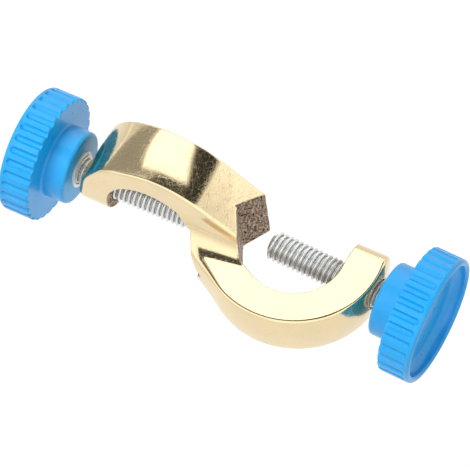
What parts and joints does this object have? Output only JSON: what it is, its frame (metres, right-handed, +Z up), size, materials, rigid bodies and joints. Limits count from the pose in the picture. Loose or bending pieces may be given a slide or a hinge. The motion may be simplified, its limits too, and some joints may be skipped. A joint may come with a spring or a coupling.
{
  "type": "boss head clamp",
  "caption": "Brass boss head with two round-backed jaws at right angles, each with a V seat and a thumb screw, for joining a rod to a stand rod.",
  "frame": {"origin": "root of the right jaw's V seat, on the left screw's axis", "axes": "+Z up along the stand rod that the right jaw holds, +X from that seat towards the right jaw's screw and knob; the left jaw's rod runs along Y"},
  "size_m": [0.1191, 0.0399, 0.0399],
  "materials": {
    "brass": "polished",
    "zinc_steel": "bright zinc",
    "blue_plastic": "semi-gloss moulded"
  },
  "bodies": {
    "clamp": {"clamp_body": "brass"},
    "right_travel": {"right_bush": "zinc_steel"},
    "right_turn": {"right_screw": "zinc_steel", "right_knob": "blue_plastic"},
    "left_travel": {"left_bush": "zinc_steel"},
    "left_turn": {"left_screw": "zinc_steel", "left_knob": "blue_plastic"}
  },
  "joints": [
    {"name": "right_screw_travel", "type": "slide", "parent": "clamp", "child": "right_travel", "axis": [0.999, -0.0436, 0], "range_m": [-0.00106, 0.02117]},
    {"name": "right_screw_turn", "type": "hinge", "parent": "right_travel", "child": "right_turn", "pos_m": [0.04105, -0.00008, 0], "axis": [0.999, -0.0436, 0], "range_deg": [-270, 5400]},
    {"name": "left_screw_travel", "type": "slide", "parent": "clamp", "child": "left_travel", "axis": [-1, 0, 0], "range_m": [-0.00141, 0.02117]},
    {"name": "left_screw_turn", "type": "hinge", "parent": "left_travel", "child": "left_turn", "pos_m": [-0.04675, 0, 0], "axis": [-1, 0, 0], "range_deg": [-360, 5400]}
  ],
  "couplings": [
    {"joint": "right_screw_travel", "follows": "right_screw_turn", "m_per_rad": 0.00022457},
    {"joint": "left_screw_travel", "follows": "left_screw_turn", "m_per_rad": 0.00022457}
  ]
}
